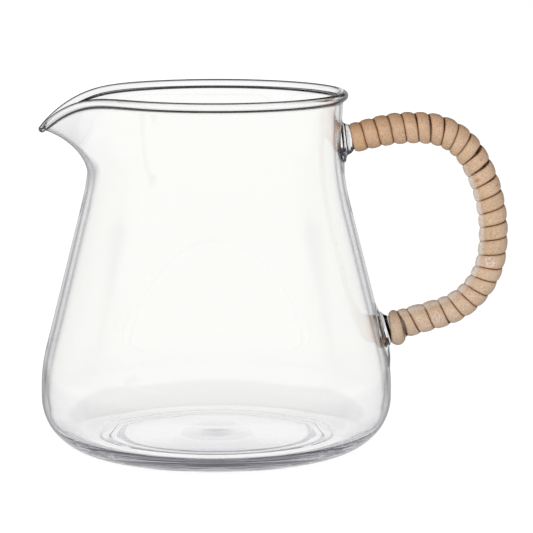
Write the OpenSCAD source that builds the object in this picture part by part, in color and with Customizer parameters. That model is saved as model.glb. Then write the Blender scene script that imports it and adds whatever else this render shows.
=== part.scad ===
// Glass pitcher with a drawn pouring lip and a handle bound with split cane.
// It stands upright with +Z up. The origin is the middle of the resting ring.
// The lip points along -X, the handle along +X, and both lie in the plane y = 0.

/* [Vessel] */
// Height from the resting ring to the top of the rim
height = 92; // [88:0.5:98]
// Widest diameter, at the belly
body_d = 90; // [86:0.5:96]
// Narrowest diameter, at the neck
neck_d = 65; // [61:0.5:69]
// Depth of the narrowest point of the neck below the top of the rim
neck_drop = 14; // [11:0.5:17]
// Thickness of the blown wall
wall = 1.3; // [1.1:0.1:1.7]
// Radius of the round heel
heel_r = 13.5; // [12:0.5:15]
// Height of the upright band above the heel
belly_band = 2.2; // [1:0.2:4]
// Share of a plain double curve that the belly and neck take, with a straight cone in between
curve_share = 0.644; // [0.5:0.002:0.8]
// Share of those curves' radii that the belly has
belly_share = 0.413; // [0.35:0.001:0.5]

/* [Base] */
// Thickness of the floor
floor_t = 3.2; // [2.6:0.1:4]
// Radius inside the heel
inner_heel_r = 10.5; // [9:0.5:12]
// Width of the flat resting ring
foot_ring_w = 3.4; // [2:0.2:5]
// Height of the pushed-up underside in the middle
punt_rise = 1.3; // [0.8:0.1:1.8]
// Diameter of the swelling that the glass leaves in the middle of the floor
swell_d = 24; // [16:1:32]
// Height of that swelling
swell_rise = 0.5; // [0.3:0.1:0.9]

/* [Rim] */
// Distance by which the rolled rim stands out from the neck
rim_stand = 1.25; // [0.8:0.05:3]
// Thickness of the rolled rim
rim_bead_d = 2.1; // [1.9:0.1:2.5]
// Radius by which the neck turns out into the rim
flare_r = 5; // [4:0.5:7]

/* [Pouring lip] */
// Distance by which the lip stands out from the neck
lip_reach = 11.2; // [8:0.2:14]
// Depth by which the rim drops at the tip of the lip
lip_drop = 8; // [6:0.2:11]
// Depth below the top of the rim at which the lip starts to leave the neck
lip_l = 23; // [20:0.5:24]
// Angle from the tip at which the lip has fallen to a third of its reach
lip_taper = 14.5; // [10:0.5:18]
// Angle from the tip at which the lip has died out
lip_span = 60; // [50:5:70]

/* [Handle] */
// Diameter of the glass rod
rod_d = 5.4; // [4.8:0.1:6]
// Distance by which the rod's centre line stands out beyond the belly
handle_stand = 26; // [24:0.5:31]
// Depth below the top of the rim at which the rod leaves the neck
handle_drop = 12.7; // [11.5:0.1:14]
// Height at which the rod meets the belly
low_root_z = 30.4; // [27:0.2:34]
// Angle at which the rod rises from the neck
handle_rise = 14; // [11:0.5:16]
// Radius of the rod along the top
crest_r = 40; // [34:1:44]
// Radius of the rod at the upper bend
shoulder_r = 15; // [13.5:0.5:16]
// Radius of the rod at the lower bend
lower_r = 18.5; // [16:0.5:20]
// Width by which the rod spreads out at the upper root
root_spread = 2.2; // [1.6:0.1:2.6]
// Distance from the neck at which the rod begins to spread
root_l = 1.9; // [1.7:0.1:2.1]
// Width by which the rod spreads out at the lower root
low_spread = 1.5; // [1.1:0.1:2]
// Distance from the belly at which the rod begins to spread
low_root_l = 2.8; // [2.5:0.1:3]
// Diameter of the gather of glass under the lower root
gather_d = 16; // [13:0.5:18]
// Height of that gather above the wall
gather_t = 1.9; // [1.4:0.1:2.2]

/* [Cane] */
// Number of turns of cane round the rod
turns = 24; // [18:1:24]
// Thickness of the cane strip
cane_t = 0.85; // [0.7:0.05:1.1]
// Space left between neighbouring turns
turn_gap = 0.6; // [0.55:0.05:0.9]
// Distance along the rod from the neck to the first turn
cane_start = 2.8; // [2.7:0.1:4]
// Distance along the rod from the last single turn to the belly
cane_end = 6.8; // [6.6:0.1:8]
// Width of the doubled turn at the end, which holds the tail of the strip
tail_w = 3.4; // [2.8:0.1:3.5]
// Thickness of that doubled turn
tail_t = 1.7; // [1.2:0.05:1.9]

/* [Hidden] */

glass_colour = [0.86, 0.91, 0.92, 0.45];
cane_colour = [0.80, 0.65, 0.49];
tail_colour = [0.78, 0.66, 0.60];

// Angle below the level at which the crest of the rod runs into the upper bend
crest_angle = 5;
// Angle that the upper bend sweeps through
shoulder_angle = 54;
// Angle that the back of the handle sweeps through
back_angle = 38.5;
// Angle that the lower bend sweeps through
low_angle = 66.5;
// Clearance of the cane from the rod, so that no facet cuts into the glass
cane_clear = 0.15;
// Clearance of the doubled turn from the last single turn, along the rod
tail_clear = 0.3;
// Angle that the doubled turn goes round the rod
tail_angle = 300;
// Angle round the rod at which it begins
tail_start_angle = 40;
// Cut that overruns a face
overrun = 1;
// Distance by which the lip's sheet lies inside the wall that it joins
lip_seam = 0.06;
// Distance from the ends of the sheet's full thickness to the cut in the wall
lip_stand = 0.4;
// Depth to which the edges of the lip's sheet taper into the wall
lip_tongue = 0.3;
// Length of those edges
lip_lap = 1.5;
// Height between the foot of the lip and the seam below it
lip_foot = 2.5;
// Power by which the lip curls outwards as it rises
lip_curl = 1.7;
// Power by which it drops as it rises
lip_fall = 1.9;
// Power by which it narrows towards its tip
lip_point = 1.4;
// Power by which its sections crowd towards its tip
lip_crowd = 1.3;
// Distance by which the gather has run down the wall from the rod
gather_sag = 1.3;
// Thickness of the edge at which the upper root meets the neck
root_edge = 0.3;
// Distance by which the lower root's spread starts above the wall
low_edge = 1.5;
// Depth inside the wall's outside from which the roots are drawn
root_depth = 4;
// Share of its radius by which the gather's mound is drawn out past its edge
gather_share = 1.12;
// Steps of a quarter turn in the outlines
quarter_steps = 12;
// Steps of a full turn
round_steps = 96;
// Steps of a full turn where a small round form meets the wall
fine_steps = 360;
// Sides of the glass rod
rod_sides = 24;
// Steps along the arc of the belly
belly_steps = 3;
// Steps along the arc of the neck
neck_steps = 8;
// Steps along the arc of the flare
flare_steps = 4;

bead_r = rim_bead_d / 2;
rod_r = rod_d / 2;
widest_r = body_d / 2;
neck_out = neck_d / 2;
neck_z = height - neck_drop;
lip_root_z = height - lip_l;
handle_z = height - handle_drop;
handle_reach = widest_r + handle_stand;

// The wall runs from the belly's arc to the neck's arc along the line that touches both.
belly_z = heel_r + belly_band;
draw_in = widest_r - neck_out;
curve_sum = curve_share * (pow(draw_in, 2) + pow(neck_z - belly_z, 2)) / (2 * draw_in);
belly_r = belly_share * curve_sum;
neck_r = curve_sum - belly_r;
belly_x = widest_r - belly_r;
neck_x = neck_out + neck_r;
arc_dx = neck_x - belly_x;
arc_dz = neck_z - belly_z;
taper = atan2(arc_dz, arc_dx) - acos((belly_r + neck_r) / norm([arc_dx, arc_dz]));

// The flare turns out until the bead's edge stands out from the neck by its named distance.
flare_mid = flare_r + wall / 2;
bead_sit = sqrt(bead_r * bead_r - wall * wall / 4);
flare_x = neck_out + flare_r;
flare = asin((rim_stand - bead_r - flare_r) / norm([flare_mid, bead_sit])) + atan2(flare_mid, bead_sit);
flare_z = height - bead_r - flare_mid * sin(flare) - bead_sit * cos(flare);

// Points of an arc about (cx, cz), from one angle to another
function arc(cx, cz, r, from, to, steps) =
    [for (i = [0 : steps]) let (a = from + (to - from) * i / steps) [cx + r * cos(a), cz + r * sin(a)]];

// Outside of the wall, from the resting ring to the rim
function outside() = concat(
    arc(widest_r - heel_r, heel_r, heel_r, -90, 0, quarter_steps),
    arc(belly_x, belly_z, belly_r, 0, taper, belly_steps),
    arc(neck_x, neck_z, neck_r, 180 + taper, 180, neck_steps),
    arc(flare_x, flare_z, flare_r, 180, 180 - flare, flare_steps));

// Inside of the wall, from the rim down to the edge of the floor
function inside() = concat(
    arc(flare_x, flare_z, flare_r + wall, 180 - flare, 180, flare_steps),
    arc(neck_x, neck_z, neck_r + wall, 180, 180 + taper, neck_steps),
    arc(belly_x, belly_z, belly_r - wall, taper, 0, belly_steps),
    arc(widest_r - wall - inner_heel_r, floor_t + inner_heel_r, inner_heel_r, 0, -90, quarter_steps));

// Floor from its edge to the middle, over the push-up and the swelling
floor_edge = widest_r - wall - inner_heel_r;
swell_r = swell_d / 2;
function floor_z(r) = floor_t + punt_rise * (1 - pow(r / floor_edge, 2))
    + (r < swell_r ? swell_rise * (1 + cos(180 * r / swell_r)) / 2 : 0);
function floor_line() =
    [for (i = [quarter_steps - 1 : -1 : 0]) let (r = floor_edge * i / quarter_steps) [r, floor_z(r)]];

// Underside from the middle to the resting ring
punt_edge = widest_r - heel_r - foot_ring_w;
function punt_line() =
    [for (i = [0 : quarter_steps]) let (r = punt_edge * i / quarter_steps)
        [r, punt_rise * (1 - pow(r / punt_edge, 2))]];

// Rolled edge on the end of a wall w thick, which ends at m and runs along the unit vector e.
// Its points go from the outside to the inside of the wall and leave out the wall's own corners.
bead_steps = 9;
function bead(m, e, w, r) =
    let (sit = sqrt(r * r - w * w / 4), c = m + e * sit, n = [e[1], -e[0]], g = atan2(w / 2, sit))
    [for (i = [1 : bead_steps]) let (a = g + (360 - 2 * g) * i / (bead_steps + 1))
        c + r * (n * sin(a) - e * cos(a))];

rim_end = [flare_x - flare_mid * cos(flare), flare_z + flare_mid * sin(flare)];
rim_way = [sin(flare), cos(flare)];

module vessel_round() {
    rotate_extrude($fn = round_steps)
        polygon(concat(punt_line(), outside(), bead(rim_end, rim_way, wall, bead_r), inside(), floor_line()));
}

// Solid that the outside of the wall encloses, which the roots of the handle sit on
module vessel_envelope() {
    rotate_extrude($fn = fine_steps)
        polygon(concat([[0, 0]], outside(), [[0, flare_z + flare_r * sin(flare)]]));
}

// Middle of the wall from the seam below the lip to the rim, as radius and height
seam_z = lip_root_z - lip_foot;
lip_rows = 9;
function neck_mid(z) = z < neck_z
    ? neck_x - sqrt(pow(neck_r + wall / 2, 2) - pow(neck_z - z, 2))
    : neck_out - wall / 2;
function upright() = concat(
    [for (z = [seam_z - lip_lap, seam_z]) [neck_mid(z), z]],
    [for (i = [0 : lip_rows]) let (z = lip_root_z + (flare_z - lip_root_z) * i / lip_rows) [neck_mid(z), z]],
    [for (i = [1 : flare_steps]) let (a = flare * i / flare_steps)
        [flare_x - flare_mid * cos(a), flare_z + flare_mid * sin(a)]]);

// Share of the lip's full reach at an angle from its tip
function lip_share(a) = abs(a) >= lip_span ? 0
    : exp(-pow(abs(a) / lip_taper, lip_point)) * (1 - pow(a / lip_span, 2));

// The same line drawn out and down by a share of the lip
function drawn(share) = [for (p = upright())
    let (t = max(0, (p[1] - lip_root_z) / (rim_end[1] - lip_root_z)))
    [p[0] + share * lip_reach * pow(t, lip_curl), p[1] - share * lip_drop * pow(t, lip_fall)]];

function unit(v) = v / norm(v);
function along(line, i) = unit(line[min(i + 1, len(line) - 1)] - line[max(i - 1, 0)]);

// Closed section through the lip's sheet; an edge section tapers into the wall all round
function lip_section(share, edge) =
    let (line = drawn(share), n = len(line),
        cut = [for (i = [0 : n - 1]) edge || i == 0 ? lip_tongue : lip_seam],
        side = [for (i = [0 : n - 1]) let (e = along(line, i)) [e[1], -e[0]]],
        last = edge ? lip_tongue : lip_seam)
    concat(
        [for (i = [0 : n - 1]) line[i] + side[i] * (wall / 2 - cut[i])],
        bead(line[n - 1], along(line, n - 1), wall - 2 * last, bead_r - last),
        [for (i = [n - 1 : -1 : 0]) line[i] - side[i] * (wall / 2 - cut[i])]);

// Angles of the sections, closer together towards the tip
lip_columns = 17;
lip_edge = lip_span + 180 * lip_lap / (PI * neck_out);
function lip_angles() =
    let (half = [for (i = [0 : lip_columns]) lip_span * pow(i / lip_columns, lip_crowd)])
    concat([-lip_edge], [for (i = [lip_columns : -1 : 1]) -half[i]], half, [lip_edge]);

// Faces between rings of points, all with the same count
function skin(rings, count) = [for (j = [0 : rings - 2], i = [0 : count - 1])
    let (a = j * count + i, b = j * count + (i + 1) % count)
    each [[a, b, b + count], [a, b + count, a + count]]];

module lip_sheet() {
    angles = lip_angles();
    rings = len(angles);
    rows = len(upright());
    count = 2 * rows + bead_steps;
    points = [for (a = angles) for (p = lip_section(lip_share(a), abs(a) > lip_span))
        [-p[0] * cos(a), -p[0] * sin(a), p[1]]];
    last = (rings - 1) * count;
    ladder = [for (i = [0 : rows - 2]) each [[i, i + 1, count - 2 - i], [i, count - 2 - i, count - 1 - i]]];
    fan = [for (i = [rows : rows + bead_steps - 1]) [rows - 1, i, i + 1]];
    cap = concat(ladder, fan);
    polyhedron(points = points, faces = concat(
        skin(rings, count),
        [for (f = cap) [f[2], f[1], f[0]]],
        [for (f = cap) [last + f[0], last + f[1], last + f[2]]]));
}

// Part of the neck that the lip's sheet takes the place of
module lip_gap() {
    half = lip_span + 180 * lip_stand / (PI * neck_out);
    rotate([0, 0, 180 - half])
        rotate_extrude(angle = 2 * half, $fn = round_steps)
            translate([neck_out / 2, seam_z - lip_stand])
                square([neck_out / 2 + lip_reach, height - seam_z + lip_stand + overrun]);
}

module glass_body() {
    color(glass_colour) {
        difference() {
            vessel_round();
            lip_gap();
        }
        lip_sheet();
    }
}

// Centre line of the rod: a straight lead, four bends and a straight end that meets the belly.
// Each heading is the angle of travel above +X.
bend_angles = [handle_rise + crest_angle, shoulder_angle, back_angle, low_angle];
function heading(i) = i == 0 ? handle_rise : heading(i - 1) - bend_angles[i - 1];
last_heading = heading(4);
// Step of a bend of unit radius, from one heading to another
function unit_step(from, to) = [sin(from) - sin(to), cos(to) - cos(from)];

cone_x = belly_x + belly_r * cos(taper);
cone_z = belly_z + belly_r * sin(taper);
low_end = [cone_x - (low_root_z - cone_z) * tan(taper), low_root_z];

// The back's radius brings the rod's end to its height on the belly.
top_step = crest_r * unit_step(handle_rise, heading(1)) + shoulder_r * unit_step(heading(1), heading(2));
low_step = lower_r * unit_step(heading(3), last_heading);
lead_reach = handle_reach - neck_out - top_step[0];
end_reach = low_end[0] - handle_reach - low_step[0];
back_drop = low_root_z - handle_z - top_step[1] - low_step[1]
    - lead_reach * tan(handle_rise) - end_reach * tan(last_heading);
back_r = back_drop / (unit_step(heading(2), heading(3))[1]
    - unit_step(heading(2), -90)[0] * tan(handle_rise)
    - unit_step(-90, heading(3))[0] * tan(last_heading));
lead = (lead_reach - back_r * unit_step(heading(2), -90)[0]) / cos(handle_rise);
end_run = (end_reach - back_r * unit_step(-90, heading(3))[0]) / cos(last_heading);
echo(back_radius_mm = back_r, lead_mm = lead, end_run_mm = end_run);

bend_radii = [crest_r, shoulder_r, back_r, lower_r];
function bend_step(i, h) = bend_radii[i] * unit_step(heading(i), h);
function bend_start(i) = i == 0
    ? [neck_out, handle_z] + lead * [cos(handle_rise), sin(handle_rise)]
    : bend_start(i - 1) + bend_step(i - 1, heading(i));
run_in = bend_start(4);

bend_lengths = [for (i = [0 : 3]) PI * bend_radii[i] * bend_angles[i] / 180];
function bend_from(i) = i == 0 ? lead : bend_from(i - 1) + bend_lengths[i - 1];
bend_marks = [for (i = [0 : 4]) bend_from(i)];
bend_starts = [for (i = [0 : 4]) bend_start(i)];
rod_length = bend_marks[4] + end_run;

// Place and heading on the centre line at a distance s from the neck
function rod_at(s) =
    s <= bend_marks[0] ? rod_straight([neck_out, handle_z], handle_rise, s)
    : s >= bend_marks[4] ? rod_straight(run_in, last_heading, s - bend_marks[4])
    : let (i = max([for (k = [0 : 3]) s >= bend_marks[k] ? k : 0]),
        h = heading(i) - 180 * (s - bend_marks[i]) / (PI * bend_radii[i]),
        p = bend_starts[i] + bend_step(i, h))
    [p[0], p[1], h];
function rod_straight(p, h, s) = [p[0] + s * cos(h), p[1] + s * sin(h), h];

// Point at a distance r from the centre line, turned by the angle a round it from the outside of its bends
function rod_point(s, a, r) =
    let (p = rod_at(s))
    [p[0] - r * cos(a) * sin(p[2]), -r * sin(a), p[1] + r * cos(a) * cos(p[2])];

// Puts its children at a point of the centre line, with +Z along the heading h
module at_rod(p, h) {
    translate([p[0], 0, p[1]])
        rotate([0, 90 - h, 0])
            children();
}

// Stations along the rod, close together where it bends
bend_steps = 9;
rod_foot = root_l / cos(handle_rise);
rod_stations = concat([rod_foot],
    [for (i = [0 : 3]) for (k = [0 : bend_steps - 1]) bend_marks[i] + bend_lengths[i] * k / bend_steps],
    [bend_marks[4], rod_length - low_root_l]);

// Point of the rod's surface; the rod begins with an upright face, parallel to the neck
function rod_skin(s, a) =
    let (p = rod_point(s, a, rod_r))
    s > rod_foot ? p
    : [neck_out + root_l, p[1], p[2] + (neck_out + root_l - p[0]) * tan(handle_rise)];

module handle_rod() {
    last = (len(rod_stations) - 1) * rod_sides;
    color(glass_colour)
        polyhedron(
            points = [for (s = rod_stations) for (i = [0 : rod_sides - 1]) rod_skin(s, 360 * i / rod_sides)],
            faces = concat(
                [for (f = skin(len(rod_stations), rod_sides)) [f[2], f[1], f[0]]],
                [for (i = [1 : rod_sides - 2]) [0, i, i + 1]],
                [for (i = [1 : rod_sides - 2]) [last, last + i + 1, last + i]]));
}

// Outline of a root's hollow flank, as shares of its spread and of its height above its edge
flank_shares = [[0, 1], [0.1, 0.68], [0.34, 0.34], [0.66, 0.12], [1, 0]];

// Round foot that spreads from radius r at the distance tall to its edge, along its own +Z
module root_foot(r, spread, tall, edge) {
    rotate_extrude($fn = fine_steps)
        polygon(concat(
            [[0, tall]],
            [for (q = flank_shares) [r + q[0] * spread, edge + q[1] * (tall - edge)]],
            [[r + spread, -root_depth], [0, -root_depth]]));
}

module upper_root() {
    color(glass_colour)
        difference() {
            at_rod([neck_out, handle_z + root_l * tan(handle_rise)], 0)
                root_foot(rod_r / cos(handle_rise), root_spread, root_l, root_edge);
            vessel_envelope();
        }
}

module lower_root() {
    color(glass_colour)
        difference() {
            union() {
                at_rod(low_end, last_heading + 180)
                    root_foot(rod_r, low_spread, low_root_l, low_edge);
                at_rod(low_end + gather_sag * [sin(taper), -cos(taper)], taper)
                    gather();
            }
            vessel_envelope();
        }
}

// Low mound of glass, round in plan, that has run on the wall
module gather() {
    reach = gather_d / 2 * gather_share;
    rotate_extrude($fn = fine_steps)
        polygon(concat(
            [[0, -root_depth], [reach, -root_depth]],
            [for (i = [quarter_steps : -1 : 0]) let (r = reach * i / quarter_steps)
                [r, gather_t * (1 - pow(2 * r / gather_d, 2))]]));
}

// The strip winds right-handed, from the neck to the belly.
cane_run = rod_length - cane_start - cane_end;
pitch = (cane_run + turn_gap) / (turns + 1);
cane_w = pitch - turn_gap;
cane_r = rod_r + cane_clear;
turn_rings = 24;
cane_rings = turns * turn_rings;

// Section of the strip: flat against the rod and domed outside, as shares of width and thickness
cane_shares = [[-0.5, 0], [-0.5, 0.55], [-0.24, 1], [0.24, 1], [0.5, 0.55], [0.5, 0]];

function cane_ring(k) =
    let (s = cane_start + cane_w / 2 + pitch * k / turn_rings, a = 360 * k / turn_rings)
    [for (q = cane_shares) rod_point(s + q[0] * cane_w, a, cane_r + q[1] * cane_t)];

strip = [for (k = [0 : cane_rings]) cane_ring(k)];
// Least distance between points of a turn and points of the next, over the sides that face
least_gap = min([for (k = [0 : cane_rings - turn_rings]) for (j = [-1 : 1]) for (i = [3 : 5]) for (m = [0 : 2])
    let (n = min(cane_rings, max(0, k + turn_rings + j))) norm(strip[k][i] - strip[n][m])]);
echo(least_gap_between_turns_mm = least_gap);

module cane_wrap() {
    count = len(cane_shares);
    last = cane_rings * count;
    color(cane_colour)
        polyhedron(
            points = [for (ring = strip) each ring],
            faces = concat(
                [for (f = skin(cane_rings + 1, count)) [f[2], f[1], f[0]]],
                [for (i = [1 : count - 2]) [0, i, i + 1]],
                [for (i = [1 : count - 2]) [last, last + i + 1, last + i]]));
}

// Doubled turn at the end, where the tail of the strip is turned back and tucked in
module cane_tail() {
    color(tail_colour)
        at_rod(rod_at(rod_length - cane_end + tail_clear), last_heading)
            rotate([0, 0, tail_start_angle])
                rotate_extrude(angle = tail_angle, $fn = round_steps)
                    translate([cane_r, 0])
                        polygon([for (q = cane_shares) [q[1] * tail_t, (q[0] + 0.5) * tail_w]]);
}

glass_body();
handle_rod();
upper_root();
lower_root();
cane_wrap();
cane_tail();
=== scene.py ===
"""Looks for the glass pitcher with a cane-bound handle.

Every piece is made where it stands in the CAD frame. Shapes are worked out in millimetres and degrees, and
written to the meshes in metres.
"""

import math

import bpy
import numpy as np
from mathutils import Matrix, Vector


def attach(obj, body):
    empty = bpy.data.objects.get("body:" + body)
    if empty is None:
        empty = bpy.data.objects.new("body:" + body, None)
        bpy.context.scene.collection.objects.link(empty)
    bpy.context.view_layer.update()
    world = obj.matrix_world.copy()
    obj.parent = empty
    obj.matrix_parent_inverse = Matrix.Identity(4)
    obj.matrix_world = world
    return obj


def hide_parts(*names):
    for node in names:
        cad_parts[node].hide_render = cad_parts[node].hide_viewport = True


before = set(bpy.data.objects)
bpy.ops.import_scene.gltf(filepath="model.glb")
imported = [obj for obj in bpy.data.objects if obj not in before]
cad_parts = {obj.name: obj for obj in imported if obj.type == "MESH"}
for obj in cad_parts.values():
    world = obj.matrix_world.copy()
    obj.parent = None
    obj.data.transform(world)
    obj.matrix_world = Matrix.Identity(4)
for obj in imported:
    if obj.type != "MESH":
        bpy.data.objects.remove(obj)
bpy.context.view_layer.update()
bpy.ops.object.select_all(action="DESELECT")

MM = 0.001
WELD = 2e-6             # metres

# ---------------------------------------------------------------- the vessel's measures
WALL = 1.3
RIM_WALL = 1.25
WIDEST_R = 45.0
HEEL_R = 13.5
HEEL_SQUARE = 2.9       # squareness of the heel inside, where 2 is a quarter of an ellipse
FLOOR_T = 3.07
FLOOR_EDGE = 30.3
FLOOR_RISE = 1.35
SWELL_R = 12.0
SWELL_RISE = 0.5
GROOVE_TOP, GROOVE_FOOT, GROOVE_DEPTH = 0.45, 0.22, 0.06
PUNT_EDGE = 27.4
PUNT_RIM = 24.1
PUNT_STEP = 0.42
PUNT_RISE = 0.95
# Steps of the underside, as (across, up) from the resting ring and from the rim of the dome
RING_STEPS = ((0.3, 0.0), (0.05, 0.16), (-0.2, 0.05))
DOME_STEPS = ((0.4, -0.06), (0.15, 0.08))

# Arcs of the outside, as the centre's distance from the axis, its height and the radius
BELLY = (2.0451, 15.7, 42.955)
NECK = (103.03, 80.4, 70.83)
TAPER = 14.2201
# Lengths of the cone, as the heights that it runs between and its rows
CONE_INSIDE = (30.0, 61.5, 16)
CONE_OUTSIDE = ((66.0, 44.0, 10), (43.5, 27.0, 44))
OUTSIDE_BELLY_STEPS, OUTSIDE_CONE = 12, (27.0, 84.0, 60)
NECK_ROWS = 24
WALL_FOOT, WALL_END = 66.5, 89.5
# Points or steps of the outline's other lengths
FLOOR_POINTS, HEEL_POINTS, PUNT_POINTS = 29, 27, 15
BELLY_STEPS_IN, BELLY_STEPS, HEEL_STEPS = 6, 20, 24

# The rim is rolled outwards: its bead stands on the outside of a wall that leans out a little.
LEAN_Z = 84.5
LEAN = 3.5
LEAN_R = 14.0
LEAN_ROWS = 6
BEAD_R = 1.19
BEAD = (32.56, 90.81)
BEAD_POINTS = 26
MELTING_ROUNDS = 3

LIP_ROOT_Z = 71.4
LIP_REACH = 11.3
LIP_DROP = 7.25
LIP_SPAN = 53.2
LIP_TAPER, LIP_BELL = 18.2, 1.43    # how fast the lip fades to its sides
LIP_PULL, LIP_FLARE = 0.81, 1.24    # how its reach grows towards the tip and up the wall
LIP_CURL, LIP_SAG = 1.2, 1.73       # how its drop grows towards the tip and up the wall
TIP_THINNING = 0.23

VESSEL_COLUMNS = 360
COLUMN_CROWDING = 0.275
SAME_POINT = 0.01
SKIN = 0.2              # how far under the outside a point still counts as on it

# ---------------------------------------------------------------- the handle's measures
ROD_R = 2.7
ROD_START = (32.5, 79.3)
RISE = 14.0
LEAD = 8.472
BENDS = ((40.0, 19.0), (15.0, 54.0), (38.9708, 38.5), (18.5, 66.5))     # radius and turn
END_RUN = 15.388
UPPER_STUB = (-0.6, 6.5)            # along the rod, from its start
LOWER_STUB = (-9.0, 0.7)            # along the rod, from its end
STUB_LAP = 0.2
ROD_SLACK = 0.02
ROD_RINGS, ROD_SIDES = 120, 32
STUB_RINGS, STUB_SIDES = 14, 48

# Roots, as (radius, height) on the rod's own line: a pressed collar on the neck, a melted foot on the belly
COLLAR = ((0, 2.5), (ROD_R, 2.5), (3.1, 2.25), (3.55, 1.85), (3.85, 1.4), (3.98, 1.0), (4.12, 0.7),
          (4.5, 0.45), (5.0, 0.25), (5.7, 0.02), (5.9, -0.4), (5.6, -0.9), (0, -0.9))
FOOT = ((0, 3.4), (ROD_R, 3.4), (2.82, 2.8), (3.05, 2.2), (3.45, 1.65), (4.0, 1.2), (4.5, 0.95),
        (4.6, -0.9), (0, -0.9))
COLLAR_LIFT = 0.2
ROOT_COLUMNS = 72
# Glass that has run on the wall round a root: height of its middle, half width, reach up and down,
# squareness, softness of its edge, thickness, and the heights that it stays between
RUN_GLASS = ((29.8, 6.9, 7.6, 9.6, 1.35, 1.6, 1.0, (14, 50)),
             (78.5, 5.2, 6.5, 9.5, 1.0, 1.8, 0.62, (60, 86)))

# Places along the rod where one turn of cane meets the next: on the outside of its bends, and half a turn
# later on the inside
OUTER_MARKS = (5.45, 8.97, 12.22, 15.32, 18.37, 21.57, 24.69, 28.04, 31.29, 34.54, 38.37, 42.32, 46.07,
               49.62, 53.47, 57.12, 61.07, 64.66, 67.76, 71.46, 74.86, 78.31, 81.91, 85.83, 89.43, 93.13)
INNER_MARKS = (5.35, 8.97, 12.72, 16.47, 20.0, 23.39, 27.0, 30.19, 33.24, 36.77, 40.4, 44.12, 47.77,
               51.5, 55.02, 58.92, 62.81, 66.41, 69.76, 73.06, 75.95, 79.81, 82.9, 87.0, 91.5, 93.6)
FIRST_EDGE, LAST_EDGE = (2.3, 1.95), (97.6, 96.2)
CANE_ENDS = (1.9, 97.4)
# Turn, spare width in millimetres and spread in turns of the places where the winding has opened
OPENINGS = ((4.12, 0.2, 0.1), (5.2, 0.28, 0.13), (6.15, 0.2, 0.1), (8.1, 0.14, 0.06), (9.13, 0.62, 0.12),
            (10.18, 0.5, 0.12), (11.15, 0.18, 0.1), (12.08, 0.12, 0.08), (14.05, 0.14, 0.08),
            (22.05, 0.3, 0.08), (24.2, 0.1, 0.1), (25.25, 0.9, 0.13))
CANE_TURNS = (-0.9, 26.45)
RINGS_PER_TURN = 64
CANE_GAP = 0.03
CANE_SEAT, TAIL_SEAT = 0.1, 0.12    # how far the strip's underside stands off the rod
# Thickness of the strip at some of its turns
THICK_AT = (0, 1.5, 3, 5.5, 8, 10, 14, 18, 22, 26)
THICKNESS = (1.02, 1.1, 1.25, 1.22, 1.05, 0.98, 0.94, 0.92, 0.97, 1.0)
NARROW_SHARE, FULL_WIDTH = 0.35, 2.2    # a narrow strip is thinner
# Crown of the strip, as the edge's share of the thickness, the crown's share and its squareness
CANE_CROWN, TAIL_CROWN = (0.57, 0.43, 2.8), (0.5, 0.5, 2.3)
CANE_UNDER, TAIL_UNDER = (0.9, 0.45, 0.0, -0.45, -0.9), (0.9, 0.0, -0.9)
LEAST_HALF_WIDTH = 0.05

TAIL_START, TAIL_SWEEP = -50, 300
TAIL_STEPS = 96
TAIL_LOW, TAIL_HIGH = 93.75, 97.5
TAIL_LOW_SHIFT, TAIL_HIGH_SHIFT = 0.25, 1.3
TAIL_BULGE = 0.5
TAIL_THICK, TAIL_SWELL = 1.75, 0.55
TAIL_FADE, TAIL_TIP = 12, 4         # rings
TAIL_TURN, TAIL_GRAIN = 26.0, 115   # where its grain starts, and its rings for a turn of grain

SHARP, VESSEL_SHARP, STRIP_SHARP = 40, 32, 60


# ---------------------------------------------------------------- the maker's small tools
def arc(cx, cz, r, start, end, steps):
    a = np.radians(np.linspace(start, end, steps + 1))
    return np.stack([cx + r * np.cos(a), cz + r * np.sin(a)], axis=1)


def one_only(piece):
    bpy.ops.object.select_all(action="DESELECT")
    piece.select_set(True)
    bpy.context.view_layer.objects.active = piece


def settle(piece, sharp=SHARP, weld=True):
    """Closes seams, turns the faces outwards and smooths them."""
    one_only(piece)
    bpy.ops.object.mode_set(mode="EDIT")
    bpy.ops.mesh.select_all(action="SELECT")
    if weld:
        bpy.ops.mesh.remove_doubles(threshold=WELD)
    bpy.ops.mesh.normals_make_consistent(inside=False)
    bpy.ops.object.mode_set(mode="OBJECT")
    bpy.ops.object.shade_smooth_by_angle(angle=math.radians(sharp))
    bpy.ops.object.select_all(action="DESELECT")


def drawn_outline(name, points):
    """An outline in the plane y = 0, drawn point by point by extruding from the first."""
    bpy.ops.mesh.primitive_plane_add(size=MM, location=(0, 0, 0))
    piece = bpy.context.object
    piece.name = piece.data.name = name
    bpy.ops.object.mode_set(mode="EDIT")
    bpy.ops.mesh.select_all(action="SELECT")
    bpy.ops.mesh.merge(type="CENTER")
    here = Vector((0.0, 0.0, 0.0))
    for i, (x, z) in enumerate(points):
        there = Vector((x * MM, 0.0, z * MM))
        if i == 0:
            bpy.ops.transform.translate(value=there - here)
        else:
            bpy.ops.mesh.extrude_vertices_move(TRANSFORM_OT_translate={"value": there - here})
        here = there
    bpy.ops.object.mode_set(mode="OBJECT")
    return piece


def spun(name, points, columns):
    """An outline spun all the way round +Z."""
    piece = drawn_outline(name, points)
    bpy.ops.object.mode_set(mode="EDIT")
    bpy.ops.mesh.select_all(action="SELECT")
    bpy.ops.mesh.spin(steps=columns, angle=math.tau, center=(0, 0, 0), axis=(0, 0, 1), dupli=False)
    bpy.ops.object.mode_set(mode="OBJECT")
    settle(piece)
    return piece


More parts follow.
